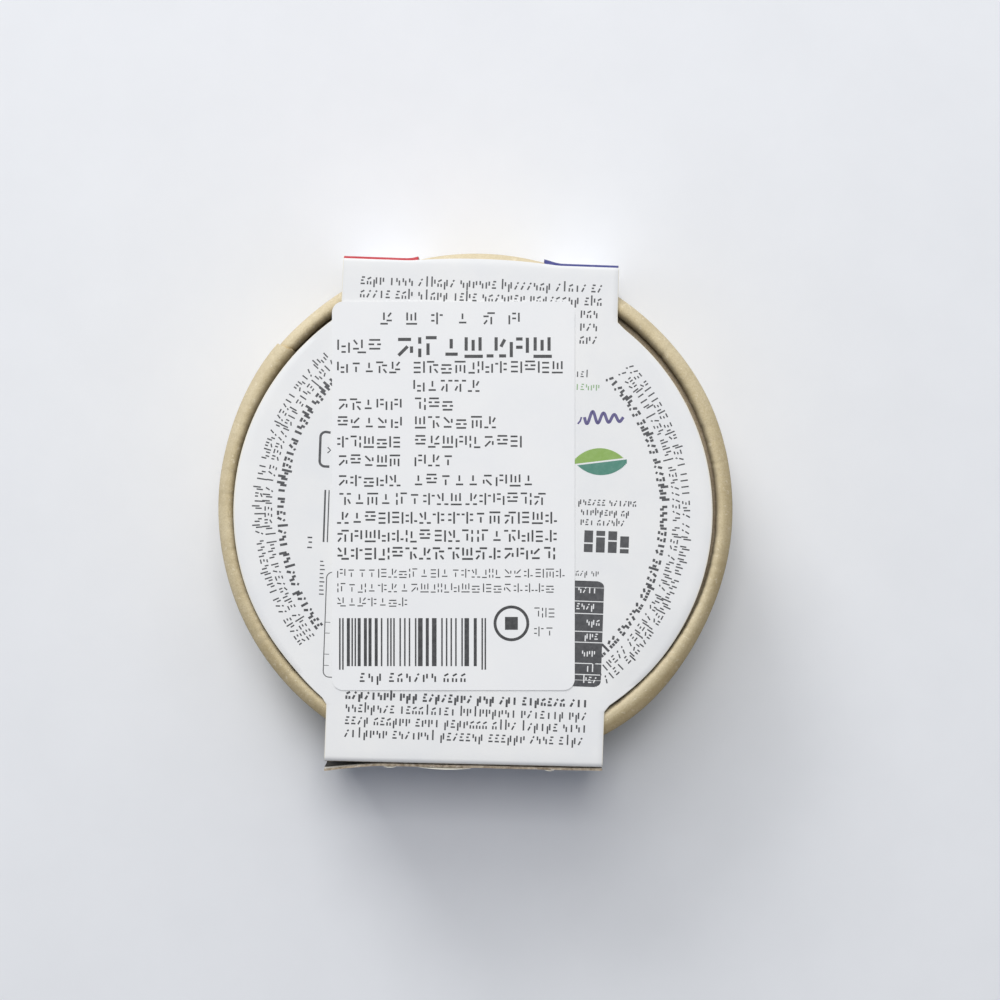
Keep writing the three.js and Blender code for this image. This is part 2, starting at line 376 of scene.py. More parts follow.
def thick_sheet(name, rows, columns, point, materials, keep=None, slot_of=None, wrap=False):
    """A closed sheet with a thickness, on a grid of rows and columns.

    point(i, j, side) is a corner on the outer (0) or inner (1) face, keep(i, j) says which cells
    exist and slot_of(i, j, side) gives a cell's material slot: without it, 0 outside and 1 inside.
    Cut edges use slot 2. wrap joins the last column to the first.
    """
    span = columns if wrap else columns - 1
    cells = {(i, j) for i in range(rows - 1) for j in range(span) if keep is None or keep(i, j)}
    index, vertices, faces, slots = {}, [], [], []

    def corner(i, j, side):
        key = (i, j % columns, side)
        if key not in index:
            index[key] = len(vertices)
            vertices.append(point(i, j % columns, side))
        return index[key]

    def add(corners, slot):
        faces.append([corner(*c) for c in corners])
        slots.append(slot)

    for i, j in sorted(cells):
        outside, inside = (slot_of(i, j, 0), slot_of(i, j, 1)) if slot_of else (0, 1)
        add([(i, j, 0), (i, j + 1, 0), (i + 1, j + 1, 0), (i + 1, j, 0)], outside)
        add([(i + 1, j, 1), (i + 1, j + 1, 1), (i, j + 1, 1), (i, j, 1)], inside)
        borders = [
            ((i - 1, j), (i, j), (i, j + 1)),
            ((i + 1, j), (i + 1, j + 1), (i + 1, j)),
            ((i, j - 1), (i + 1, j), (i, j)),
            ((i, j + 1), (i, j + 1), (i + 1, j + 1)),
        ]
        for (row, column), first, second in borders:
            other = (row, column % span if wrap else column)
            if other not in cells:
                add([(*second, 0), (*first, 0), (*first, 1), (*second, 1)], 2)
    return finish_piece(name, vertices, faces, materials, slots)


def revolved(name, outline, columns, material, shift):
    """A closed solid turned about Z, from a (radius, height) outline that starts and ends on the axis.

    shift(radius, height, angle) gives a small (radial, vertical) change to the surface there.
    """
    vertices, faces = [], []
    start, end = outline[0], outline[-1]
    ring = outline[1:-1]
    for radius, height in ring:
        for j in range(columns):
            angle = 2 * math.pi * j / columns
            out, up = shift(radius, height, angle)
            reach = radius + out
            vertices.append((reach * math.cos(angle), reach * math.sin(angle), height + up))
    for i in range(len(ring) - 1):
        for j in range(columns):
            k = (j + 1) % columns
            faces.append([i * columns + j, i * columns + k, (i + 1) * columns + k, (i + 1) * columns + j])
    for (radius, height), row, flip in ((start, 0, True), (end, len(ring) - 1, False)):
        pole = len(vertices)
        vertices.append((0, 0, height + shift(radius, height, 0)[1]))
        for j in range(columns):
            edge = [row * columns + j, row * columns + (j + 1) % columns]
            faces.append([*(reversed(edge) if flip else edge), pole])
    return finish_piece(name, vertices, faces, [material])


# ---------------------------------------------------------------- the box's rolled rings
SEAM_ANGLE = math.radians(142.4)
SEAM_STEP = 0.45 * MM
SEAM_RUN = math.radians(30)
SEAM_SLANT = math.radians(1.6)
SEAM_GROOVE = math.radians(0.5)
SEAM_DIP = 0.24 * MM
SEAM_GATHER = math.radians(1.6)


def strip_path(line):
    """Each point of a (radius, height) line with its left-hand unit normal."""
    path = []
    for i, here in enumerate(line):
        before, after = line[max(i - 1, 0)], line[min(i + 1, len(line) - 1)]
        dx, dz = after[0] - before[0], after[1] - before[1]
        length = math.hypot(dx, dz)
        path.append((*here, -dz / length, dx / length))
    return path


# The roll's bends: (radius of the bend in mm, from, to) in degrees round from its outermost line,
# and the straighter stretches between them: (length in mm, where in degrees, half width in degrees).
ROLL_BENDS = [(1.3, -30, 0), (1.05, 0, 90), (0.78, 90, 180), (0.9, 180, 250)]
ROLL_FLATS = [(0.94, 52, 14), (0.85, 165, 12)]
ROLL_STEPS = 40


def roll_bend(turn):
    """The radius, in mm, at which the roll's outer surface bends there."""
    radius = [size for size, start, end in ROLL_BENDS if start <= turn <= end][0]
    for length, centre, width in ROLL_FLATS:
        height = length / (math.radians(width) * math.sqrt(math.pi))
        radius += height * bell((turn - centre) / width)
    return radius


def rim_turn(centre_height, upwards):
    """The middle of the strip round the roll: a long outer slope, a crest and a steep inner side."""
    side = 1 if upwards else -1
    fine = 4
    count = ROLL_STEPS * fine
    start = ROLL_BENDS[0][1]
    step = (RIM_TURN - start) / count
    x, z = 0.0, 0.0
    places = [(x, z)]
    for n in range(count):
        turn = start + (n + 0.5) * step
        length = (roll_bend(turn) * MM - STRIP / 2) * math.radians(step)
        x -= length * math.sin(math.radians(turn))
        z += length * math.cos(math.radians(turn))
        places.append((x, z))
    outermost = round(-start / step)
    first = 0 if upwards else outermost // fine * fine
    out, level = places[outermost]
    reach = BOX_RADIUS - STRIP / 2 - out
    return [(reach + x, centre_height + side * (z - level)) for x, z in places[first::fine]]


# Where the ring stands out of a true circle: (degrees, half width in degrees, millimetres), and
# the millimetres by which it does so all round.
RING_EXCESS = 0.02
RING_SWELLS = [(-50, 14, 0.62), (-20, 12, -0.15), (28, 14, 0.22), (132, 10, -0.16), (174, 12, 0.14)]


def out_of_round(angle):
    """The rolled ring isn't a true circle."""
    total = RING_EXCESS
    for centre, width, size in RING_SWELLS:
        total += size * bell(degrees_from(angle, centre) / width)
    return total * MM


# The top rim's lean outwards, in mm: all round, and more towards one side. Then how far it has
# sprung inwards, and where, and over what half width, in degrees.
ROLL_LEAN, LEAN_CHANGE, LEAN_TOWARDS = 0.05, 0.33, math.radians(115)
SPRUNG, SPRUNG_AT, SPRUNG_WIDTH = 0.55 * MM, -46, 24


def roll_lean(angle, height):
    """The top rim leans outwards on one side of the box and inwards on the other."""
    above = clamp((height - RIM_TOP + RIM_RADIUS) / RIM_RADIUS)
    return (ROLL_LEAN + LEAN_CHANGE * math.cos(angle - LEAN_TOWARDS)) * MM * above**1.5


def roll_spread(angle):
    """How far the top roll has sprung inwards, under the back panel's edge."""
    return SPRUNG * bell(degrees_from(angle, SPRUNG_AT) / SPRUNG_WIDTH)


def end_press(x, y):
    """How far the sleeve's tight wall moves the box inwards at its -Y end."""
    if y > -BOX_RADIUS / 2:
        return 0.0
    across = min(abs(x), BOX_RADIUS)
    flat = BOX_RADIUS - END_PRESS - END_SKEW * x
    return max(0.0, math.sqrt(BOX_RADIUS**2 - across**2) + 0.1 * MM - flat)


def seam_cut(turned):
    """The angle at which the strip's outer end is cut."""
    return SEAM_ANGLE - SEAM_SLANT * clamp(turned / 150)


def gathered_angle(angle, turned):
    """Draws the mesh's columns close together at the strip's cut end, so that its step is steep."""
    away = (angle - seam_cut(turned) + math.pi) % (2 * math.pi) - math.pi
    if abs(away) < SEAM_GATHER:
        return seam_cut(turned) + away * abs(away) / SEAM_GATHER
    return angle


def seam_lift(angle, turned):
    """The outer end of the strip stands one layer proud and blends back into the ring."""
    past = (angle - seam_cut(turned)) % (2 * math.pi)
    if past < SEAM_RUN:
        return SEAM_STEP * (1 - smooth(past / SEAM_RUN))
    before = 2 * math.pi - past
    return -SEAM_DIP * (1 - before / SEAM_GROOVE) if before < SEAM_GROOVE else 0.0


def wrinkle(angle, turn, salt):
    """Radial creases, deepest on the rim's inner slope, where the board is gathered."""
    x, y = math.cos(angle) * BOX_RADIUS, math.sin(angle) * BOX_RADIUS
    coarse = bumps(x / (2.4 * MM), y / (2.4 * MM), salt)
    fine = bumps(x / (0.9 * MM), y / (0.9 * MM), salt + 9)
    gathered = smooth((turn - 20) / 110)
    return (coarse * 0.05 + min(fine, 0.1) * 0.13) * gathered * MM


def rolled_ring(name, wall, centre_height, upwards, columns, salt):
    line = wall + rim_turn(centre_height, upwards)
    path = strip_path(line)
    turn_start = len(wall)
    outward = 1 if upwards else -1
    inmost = min(radius for radius, _ in line) - STRIP / 2

    def point(i, j, side):
        radius, height, out, up = path[i]
        turned = max(0, i - turn_start) / (len(path) - turn_start) * RIM_TURN
        angle = gathered_angle(2 * math.pi * j / columns, turned)
        offset = (STRIP / 2 if side == 0 else -STRIP / 2) + wrinkle(angle, turned, salt)
        proud = seam_lift(angle, turned) if side == 0 else 0
        outer = clamp((radius - inmost) / (BOX_RADIUS - inmost)) ** 1.5 if upwards else 0
        reach = radius + out * -outward * (offset + proud) + out_of_round(angle) * outer
        if upwards:
            reach += roll_lean(angle, height) - roll_spread(angle) * (1 - outer)
        rise = height + up * -outward * (offset + proud)
        swell = bumps(math.cos(angle) * 3, math.sin(angle) * 3, salt + i * 0.02) * 0.06 * MM
        x, y = reach * math.cos(angle), reach * math.sin(angle)
        return (x, y + end_press(x, y), rise + swell)

    order = lambda i, j, side: point(i, j if upwards else -j, side)
    return thick_sheet(name, len(path), columns, order, [STRIP_BOARD] * 3, wrap=True)


def box_rings():
    base_wall = BOX_RADIUS - 2 * STRIP - RING_GAP + STRIP / 2
    base_centre = RIM_TOP - RIM_RADIUS
    flare = base_centre - RIM_RADIUS - 0.75 * MM
    wall = [(base_wall, z) for z in spread(BASE_LOW[2], flare, 12)]
    base = rolled_ring("base_ring_finish", wall, base_centre, True, 900, 3.0)
    stand_in("base_ring")

    lid_wall = BOX_RADIUS - STRIP / 2
    lid_centre = LID_LOW[2] + RIM_RADIUS
    wall = [(lid_wall, z) for z in spread(LID_HIGH[2], lid_centre + 0.2 * MM, 14)]
    lid = rolled_ring("lid_ring_finish", wall, lid_centre, False, 720, 21.0)
    stand_in("lid_ring")


# ---------------------------------------------------------------- board panels
def board_panel(node, side):
    """A punched disc with eased edges and a shallow pressed ring on its outward side."""
    low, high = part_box(node)
    radius, ease = high[0], 0.12 * MM
    press_from, press_to, press = radius - 7 * MM, radius - 5.4 * MM, 0.12 * MM
    bottom, top = low[2], high[2]
    dip = -press if side > 0 else press
    face = [(press_from - 0.5 * MM, 0), (press_from, 1), (press_to, 1), (press_to + 0.5 * MM, 0)]
    lower = [(r, bottom + (dip * d if side < 0 else 0)) for r, d in face]
    upper = [(r, top + (dip * d if side > 0 else 0)) for r, d in reversed(face)]
    outline = [(0, bottom)] + [(r, bottom) for r in spread(radius * 0.15, radius * 0.75, 4)] + lower
    outline += [(radius - ease, bottom), (radius, bottom + ease)]
    outline += [(radius, top - ease), (radius - ease, top)]
    outline += upper + [(r, top) for r in spread(radius * 0.75, radius * 0.15, 4)] + [(0, top)]

    def shift(r, z, angle):
        return (0, 0.05 * MM * bumps(r * 90 * math.cos(angle), r * 90 * math.sin(angle), z * 10))

    piece = revolved(node + "_finish", outline, 180, PANEL_BOARD, shift)
    for corner in piece.data.vertices:
        if math.hypot(corner.co.x, corner.co.y) > radius - 3 * MM:
            corner.co.y += end_press(corner.co.x, corner.co.y)
    stand_in(node)


# ---------------------------------------------------------------- the wheel and its paper
def cheese_wheel():
    low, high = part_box("cheese_wheel")
    radius, bottom, top = high[0], low[2], high[2]
    edge = 3.2 * MM
    outline = [(0, bottom)] + [(r, bottom) for r in spread(3 * MM, radius - edge, 14)]
    outline += arc((radius - edge, bottom + edge), edge, -80, 0, 8)
    outline += [(radius, z) for z in spread(bottom + edge, top - edge, 10)][1:-1]
    outline += arc((radius - edge, top - edge), edge, 0, 80, 8)
    outline += [(r, top) for r in spread(radius - edge, 3 * MM, 14)] + [(0, top)]

    def shift(r, z, angle):
        x, y = r * math.cos(angle), r * math.sin(angle)
        soft = bumps(x / (9 * MM), y / (9 * MM), z / (9 * MM))
        fine = bumps(x / (1.6 * MM), y / (1.6 * MM), z / (1.6 * MM))
        mat = math.sin(x / (1.5 * MM)) * 0.05 * (1 if z < bottom + edge or z > top - edge else 0)
        inwards = -abs(0.12 * soft + 0.05 * fine + mat) * MM
        sag = -0.25 * MM * clamp(1 - abs(z - (bottom + top) / 2) / (8 * MM))
        on_face = 1 if r < radius - edge else 0
        facing = 1 if z < (bottom + top) / 2 else -1
        return ((0 if on_face else inwards + sag * 0.2), (-inwards * facing if on_face else 0))

    piece = revolved("cheese_wheel_finish", outline, 240, RIND, shift)
    stand_in("cheese_wheel")


PLEATS = 28


def inner_wrap():
    low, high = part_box("inner_wrap")
    radius, bottom, top = high[0] - 0.1 * MM, low[2], high[2]
    paper, corner, mouth = 0.3 * MM, 3.7 * MM, 3 * MM
    outer = [(0, bottom)] + [(r, bottom) for r in spread(3 * MM, radius - corner, 10)]
    outer += arc((radius - corner, bottom + corner), corner, -80, 0, 8)
    outer += arc((radius - corner, top - corner), corner, 0, 80, 8)
    outer += [(r, top) for r in spread(radius - corner, mouth, 22)]
    inner = [(r, top - paper) for r in spread(mouth, radius - corner, 22)]
    inner += arc((radius - corner, top - corner), corner - paper, 80, 0, 8)
    inner += arc((radius - corner, bottom + corner), corner - paper, 0, -80, 8)
    inner += [(r, bottom + paper) for r in spread(radius - corner, 3 * MM, 10)] + [(0, bottom + paper)]

    def shift(r, z, angle):
        height = (z - bottom) / (top - bottom)
        gathered = smooth((height - 0.45) / 0.5)
        wave = (angle * PLEATS / (2 * math.pi) + 0.3 * bumps(math.cos(angle) * 5, math.sin(angle) * 5)) % 1
        fold = (wave / 0.82 if wave < 0.82 else (1 - wave) / 0.18) - 1
        lying = clamp((radius - corner - r) / (6 * MM))
        down = 0.17 * MM * fold * gathered * lying
        inwards = 0.25 * MM * fold * gathered * (1 - lying) * (0 if r < radius - corner else 1)
        crease = 0.05 * MM * bumps(angle * 9, z * 500, r * 300)
        return (inwards, down + (crease if lying > 0 else 0))

    piece = revolved("inner_wrap_finish", outer + inner, PLEATS * 16, WRAP_PAPER, shift)
    stand_in("inner_wrap")


# ---------------------------------------------------------------- the sleeve
FLAP_LINE = -(BOX_RADIUS - END_PRESS + 0.05 * MM + CARD / 2)
LEG_LINE = BOX_RADIUS - RIM_REACH + CARD / 2
WALL_LINE = FLAP_LINE - CARD - 0.14 * MM
BACK_LINE = PACK_TOP - CARD / 2
FRONT_LINE = CARD / 2
FLAP, BACK, LEG, FRONT, WALL = range(5)  # the band's five lengths, from the glue flap round
OUTSIDE, INSIDE, PULP_SHADE, RED, BLUE, EDGE, WALL_SHADE = range(7)  # the sleeve's material slots
PANEL_SAG = 0.3 * MM
SIDE_COLOUR = 12 * MM
EDGE_BEVEL = 0.12 * MM
EDGE_DROP = 0.09 * MM
FOLD_STEPS = 8
DISC_FILLET = 0.35 * MM
CORNER_DROOP = 0.3 * MM
TUCK, TUCK_AT, TUCK_HALF = 0.28 * MM, -28 * MM, 7 * MM
CORNER_START, CORNER_RUN = -14.5 * MM, 9.6 * MM
CORNER_SPLAY, SPLAY_DEPTH = 1.1 * MM, 13 * MM
FLAP_LEAN, FLAP_CORNER_LEAN = 0.3, 1.3


def panel_drop(x, y):
    """How far the back panel hangs below its two folds, with the faint waves of flat card."""
    along = clamp(abs(y) / (BOX_RADIUS - 2 * MM))
    hanging = (1 - along**2) ** 1.5
    waves = 0.05 * MM * bumps(x * 55, y * 40, 2.0)
    turned = (x * 0.69 - y * 0.72) / MM
    bent = CORNER_DROOP * smooth((turned - 35) / 6) * smooth((x / MM - 22.8) / 4)
    return PANEL_SAG * hanging + waves * hanging + bent


def panel_height(x, y):
    """The outer surface of the back panel."""
    return PACK_TOP - panel_drop(x, y)


def band_stations():
    """(y, z, normal y, normal z, leg or panel number, share of the fold done) along the band."""
    corners = [
        (FLAP_LINE, BACK_LINE - FLAP_LENGTH),
        (FLAP_LINE, BACK_LINE),
        (LEG_LINE, BACK_LINE),
        (LEG_LINE, FRONT_LINE),
        (WALL_LINE, FRONT_LINE),
        (WALL_LINE, PACK_TOP - WALL_SETBACK),
    ]
    stations = []
    for k in (FLAP, BACK, LEG, FRONT, WALL):
        (y0, z0), (y1, z1) = corners[k], corners[k + 1]
        length = math.hypot(y1 - y0, z1 - z0)
        dy, dz = (y1 - y0) / length, (z1 - z0) / length
        start = 0 if k == FLAP else FOLD_RADIUS
        end = length if k == WALL else length - FOLD_RADIUS
        steps = max(2, round((end - start) / (1.1 * MM)))
        for t in spread(start, end, steps):
            stations.append((y0 + dy * t, z0 + dz * t, -dz, dy, k, 0))
        if k < WALL:
            centre = (y1 - dy * FOLD_RADIUS + dz * FOLD_RADIUS, z1 - dz * FOLD_RADIUS - dy * FOLD_RADIUS)
            first = math.degrees(math.atan2(dy, -dz))
            for n in range(1, FOLD_STEPS):
                a = math.radians(first - 90 * n / FOLD_STEPS)
                ny, nz = math.cos(a), math.sin(a)
                y, z = centre[0] + ny * FOLD_RADIUS, centre[1] + nz * FOLD_RADIUS
                stations.append((y, z, ny, nz, k, n / FOLD_STEPS))
    return stations


def band_half_width(y, k, folded):
    """Half the blank's width: the band, or the disc where that is wider, with a small fillet."""
    half = BAND_WIDTH / 2 - BAND_TAPER * y
    if k not in (BACK, FRONT) or folded:
        return half
    inside = DISC_RADIUS**2 - DISC_FLATNESS * (y - DISC_SHIFT) ** 2
    disc = math.sqrt(inside) if inside > 0 else 0
    return (half + disc + math.sqrt((half - disc) ** 2 + DISC_FILLET**2)) / 2


def blank_x(share, y, k, folded):
    """Where a share of the blank's half width lies. The disc is off centre, and tucked in at its left."""
    half = band_half_width(y, k, folded)
    on_disc = clamp((half - BAND_WIDTH / 2) / (6 * MM))
    x = share * half + SLEEVE_SHIFT + DISC_OFFSET * on_disc
    if share < 0:
        x += TUCK * on_disc * share**4 * bell((y - TUCK_AT) / TUCK_HALF)
    return x


def leg_push(x):
    """How far the rims push a leg outwards at x."""
    rim = BOX_RADIUS + SEAT_GAP
    return max(0, math.sqrt(rim**2 - min(abs(x), rim) ** 2) - (BOX_RADIUS - RIM_REACH))


def corner_reach(x):
    """0 to 1 towards the left corner of the -Y end, where the glue has let go."""
    return clamp((CORNER_START - x) / CORNER_RUN) ** 1.4


def corner_splay(x, z):
    """How far the outer wall stands away from the flap at the left corner."""
    up = z - (PACK_TOP - SPLAY_DEPTH)
    share = 0.7 * smooth(up / (8 * MM)) + 0.3 * clamp((up - 9 * MM) / (3.3 * MM)) ** 2
    return CORNER_SPLAY * corner_reach(x) * share


def flap_lean(x, z):
    """The flap leans in behind the fold, more so at the left corner, and leaves a dark gap."""
    below = smooth((PACK_TOP - 0.5 * MM - z) / (2.4 * MM))
    spare = clamp(abs(x) / (12 * MM)) ** 2
    return (FLAP_LEAN * spare + FLAP_CORNER_LEAN * corner_reach(x)) * MM * below


def sleeve():
    stations = band_stations()
    slot_share = SLOT_WIDTH / BAND_WIDTH
    bevel_share = 1 - EDGE_BEVEL / (BAND_WIDTH / 2)
    legs = [*spread(slot_share, bevel_share, 13), 1]
    shares = [-s for s in reversed(legs)] + spread(-slot_share, slot_share, 20)[1:-1] + legs
    slot_line = BOX_RADIUS - RIM_REACH - SEAT_GAP

    def point(i, j, side):
        y, z, ny, nz, k, folded = stations[i]
        at_side = j in (0, len(shares) - 1)
        x = blank_x(shares[j], y, k, folded)
        out = CARD / 2 - (EDGE_DROP if at_side else 0) if side == 0 else -CARD / 2
        push = leg_push(x) * {BACK: folded, LEG: 1 - folded}.get(k, 0)
        y_here, z_here = y + ny * out + push, z + nz * out
        y_here += END_SKEW * (x - SLEEVE_SHIFT) * smooth((-y / BOX_RADIUS - 0.5) / 0.45)
        if k == BACK and folded == 0:
            z_here -= panel_drop(x, y)
        if k == WALL:
            y_here -= corner_splay(x, z) + 0.05 * MM * bumps(x * 160, z * 60, 8.0)
        if k == FLAP:
            y_here += flap_lean(x, z) + (0.04 * MM * bumps(x * 120, z * 90) if folded == 0 else 0)
        return (x, y_here, z_here)

    def in_slot(i, j):
        middle = (shares[j] + shares[j + 1]) / 2
        y = (stations[i][0] + stations[i + 1][0]) / 2
        return abs(middle) < slot_share - 1e-6 and y > slot_line - 0.02 * MM

    def slot_of(i, j, side):
        k, folded = stations[i][4], stations[i][5]
        if side == 1:
            # Below its top row of cells, the outer wall's inner face is near-black: painted shade deep in
            # the gap behind the wall.
            return WALL_SHADE if k == WALL and i < rows - 2 else INSIDE
        if j in (0, len(shares) - 2):
            return EDGE
        on_leg = k == LEG and not folded and stations[i][1] > PACK_TOP - SIDE_COLOUR
        if on_leg or (k == BACK and folded >= 0.37):
            return RED if shares[j] < 0 else BLUE
        # The flap's outer face and the start of its fold take the dark pulp colour of the card's cut edge:
        # painted shade in the gap behind the outer wall.
        gap_shade = k == FLAP and folded < 0.3
        return PULP_SHADE if gap_shade else OUTSIDE

    materials = [CARD_WHITE, CARD_BACK, CARD_CORE, RED_PRINT, BLUE_PRINT, CARD_SKIN, SHADE_BLACK]
    rows, columns = len(stations), len(shares)
    keep = lambda i, j: not in_slot(i, j)
    piece = thick_sheet("sleeve_finish", rows, columns, point, materials, keep, slot_of)
    stand_in("sleeve")


# Where each sliver starts along the edge, its length and how far it stands away, in mm.
RAISED_SKINS = [(-8.2, 9.0, 0.34), (-14.2, 2.2, 0.22), (13.4, 1.6, 0.2)]
SKIN = 0.04 * MM


def raised_skins():
    """Slivers of the card's white skin that stand away from the outer wall's cut edge."""
    top = PACK_TOP - WALL_SETBACK
    for n, (start, length, lift) in enumerate(RAISED_SKINS):
        columns = 24

        def point(i, j, side):
            t = j / (columns - 1)
            x = (start + length * t) * MM
            away = lift * MM * math.sin(math.pi * t) ** 0.7 * (i / 5) ** 1.6
            ragged = 0.08 * MM * bumps(x * 900, n * 3.0) * i / 5
            wall = WALL_LINE - CARD / 2 + END_SKEW * (x - SLEEVE_SHIFT)
            y = wall - away - (SKIN if side == 0 else 0)
            return (x, y, top - 1.2 * MM + 1.22 * MM * i / 5 + ragged)

        piece = thick_sheet(f"raised_skin_{n}", 6, columns, point, [CARD_SKIN] * 3)


# ---------------------------------------------------------------- the label
def with_label(u, v):
    """A place in the label's turned directions, from the box's axis, as x and y."""
    c, s = math.cos(LABEL_TURN), math.sin(LABEL_TURN)
    return u * c - v * s, u * s + v * c


def label_point(across, down):
    """A place on the label, in metres from its top left corner, as x and y on the pack."""
    x, y = with_label(across - LABEL_SIZE[0] / 2, LABEL_SIZE[1] / 2 - down)
    return LABEL_CENTRE[0] + x, LABEL_CENTRE[1] + y


def label_height(x, y):
    """The label's upper surface; its edge lifts a hair where the glue has let go."""
    lift = 0.05 * MM * max(0, bumps(x * 130, y * 130, 5.0))
    return panel_height(x, y) + LABEL_GAP + LABEL_THICKNESS + lift


def label():
    corner = [LABEL_CORNER * (1 - math.cos(math.radians(a))) for a in spread(0, 90, 8)]
    height = LABEL_SIZE[1]
    rows = corner + spread(LABEL_CORNER, height - LABEL_CORNER, 54)[1:-1]
    rows += [height - c for c in reversed(corner)]
    shares = spread(-1, 1, 36)

    def point(i, j, side):
        down = rows[i]
        into = LABEL_CORNER - min(down, height - down, LABEL_CORNER)
        half = LABEL_SIZE[0] / 2 - LABEL_CORNER + math.sqrt(max(LABEL_CORNER**2 - into**2, 0))
        x, y = label_point(LABEL_SIZE[0] / 2 + shares[j] * half, down)
        return (x, y, label_height(x, y) - (LABEL_THICKNESS if side else 0))

    order = lambda i, j, side: point(len(rows) - 1 - i, j, side)
    piece = thick_sheet("back_label_finish", len(rows), len(shares), order, [LABEL_WHITE] * 3)
    stand_in("back_label")


# ---------------------------------------------------------------- printing
class Ink:
    """Closed slivers of ink on a printed surface, gathered into one piece.

    surface(u, v, lift) gives the point that stands lift proud of the print's place (u, v).
    """

    THICK = 0.012 * MM
    SUNK = 0.012 * MM

    def __init__(self, surface):
        self.surface = surface
        self.vertices, self.faces = [], []

    def ribbon(self, points, width):
        """A line of even width through points given on the print's own plane."""
        count = len(points)
        base = len(self.vertices)
        for i, (u, v) in enumerate(points):
            before, after = points[max(i - 1, 0)], points[min(i + 1, count - 1)]
            du, dv = after[0] - before[0], after[1] - before[1]
            length = math.hypot(du, dv)
            side = (-dv / length * width / 2, du / length * width / 2)
            for sign in (1, -1):
                place = (u + sign * side[0], v + sign * side[1])
                self.vertices += [self.surface(*place, self.THICK), self.surface(*place, -self.SUNK)]
        for i in range(count - 1):
            a = base + 4 * i
            b = a + 4
            self.faces += [(a, a + 2, b + 2, b), (a + 1, b + 1, b + 3, a + 3)]
            self.faces += [(a, b, b + 1, a + 1), (a + 2, a + 3, b + 3, b + 2)]
        last = base + 4 * (count - 1)
        self.faces += [(base, base + 1, base + 3, base + 2), (last, last + 2, last + 3, last + 1)]

    def bar(self, start, end, width):
        """A straight line, cut into short steps so that it follows the surface."""
        du, dv = end[0] - start[0], end[1] - start[1]
        steps = max(1, round(math.hypot(du, dv) / (4 * MM)))
        self.ribbon([(start[0] + du * t, start[1] + dv * t) for t in spread(0, 1, steps)], width)

    def block(self, left, top, width, height):
        """A solid rectangle, down from its top edge."""
        self.bar((left, top + height / 2), (left + width, top + height / 2), height)

    def piece(self, name, material, slot="sleeve_card"):
        made = finish_piece(name, self.vertices, self.faces, [material], sharp=30)
        shape = bmesh.new()
        shape.from_mesh(made.data)
        bmesh.ops.recalc_face_normals(shape, faces=shape.faces)
        shape.to_mesh(made.data)
        shape.free()


def narrow_cell(draw):
    """A few separate strokes, (x0, y0, x1, y1) in a unit-high cell. They make no letter or figure."""
    kind = draw.randrange(7)
    rise = draw.choice((0.62, 0.72, 0.72, 1.0))
    return [
        [(0.14, 0, 0.14, rise), (0.42, 0.3, 0.42, 0.7)],
        [(0.12, 0, 0.12, 0.34), (0.12, 0.52, 0.46, 0.7), (0.42, 0, 0.42, 0.3)],
        [(0.06, 0.08, 0.48, 0.08), (0.1, 0.4, 0.34, 0.4), (0.18, 0.7, 0.48, 0.7)],
        [(0.16, 0.34, 0.16, 0.72), (0.4, 0, 0.4, 0.5)],
        [(0.1, 0.02, 0.3, 0.4), (0.32, 0.58, 0.46, 0.72)],
        [(0.14, -0.25, 0.14, 0.5), (0.36, 0.1, 0.36, 0.72)],
        [(0.28, 0, 0.28, rise)],
    ][kind]


# Layouts of separate strokes for square cells, (x0, y0, x1, y1) from 0 to 1 with y up.
SQUARE_CELLS = [
    [(0.1, 0, 0.1, 0.9), (0.36, 0.86, 0.9, 0.86), (0.36, 0.5, 0.9, 0.5), (0.36, 0.12, 0.9, 0.12)],
    [(0.05, 0.88, 0.9, 0.88), (0.18, 0, 0.18, 0.62), (0.5, 0.12, 0.5, 0.62), (0.82, 0, 0.82, 0.62)],
    [(0.12, 0.2, 0.12, 0.9), (0.86, 0, 0.86, 0.7), (0.34, 0.84, 0.64, 0.84), (0.34, 0.46, 0.64, 0.46)],
    [(0.04, 0.86, 0.36, 0.86), (0.62, 0.86, 0.94, 0.86), (0.5, 0, 0.5, 0.62), (0.1, 0.1, 0.28, 0.44)],
    [(0.5, 0, 0.5, 0.92), (0.04, 0.72, 0.3, 0.72), (0.7, 0.72, 0.94, 0.72), (0.04, 0.28, 0.3, 0.28)],
    [(0.1, 0.9, 0.85, 0.9), (0.05, 0.6, 0.44, 0.6), (0.64, 0.6, 0.9, 0.6), (0.1, 0.3, 0.85, 0.3)],
    [(0.1, 0.9, 0.34, 0.6), (0.66, 0.34, 0.66, 0.92), (0.05, 0.3, 0.46, 0.3), (0.36, 0.05, 0.94, 0.05)],
    [(0.12, 0, 0.12, 0.4), (0.12, 0.62, 0.12, 0.92), (0.4, 0.9, 0.9, 0.9), (0.5, 0.1, 0.5, 0.64)],
    [(0.15, 0.78, 0.72, 0.78), (0.45, 0.08, 0.45, 0.52)],
    [(0.2, 0.08, 0.62, 0.5), (0.18, 0.82, 0.78, 0.82), (0.8, 0.2, 0.8, 0.5)],
]


def square_cell(draw):
    """Strokes for dense print, set apart from one another and mirrored at random."""
    strokes = draw.choice(SQUARE_CELLS)
    if draw.random() < 0.5:
        strokes = [(0.96 - x0, y0, 0.96 - x1, y1) for x0, y0, x1, y1 in strokes]
    if draw.random() < 0.5:
        strokes = [(x0, 0.92 - y0, x1, 0.92 - y1) for x0, y0, x1, y1 in strokes]
    return strokes


def mm(*values):
    return [v * MM for v in values]


def mm_line(points):
    return [mm(u, v) for u, v in points]


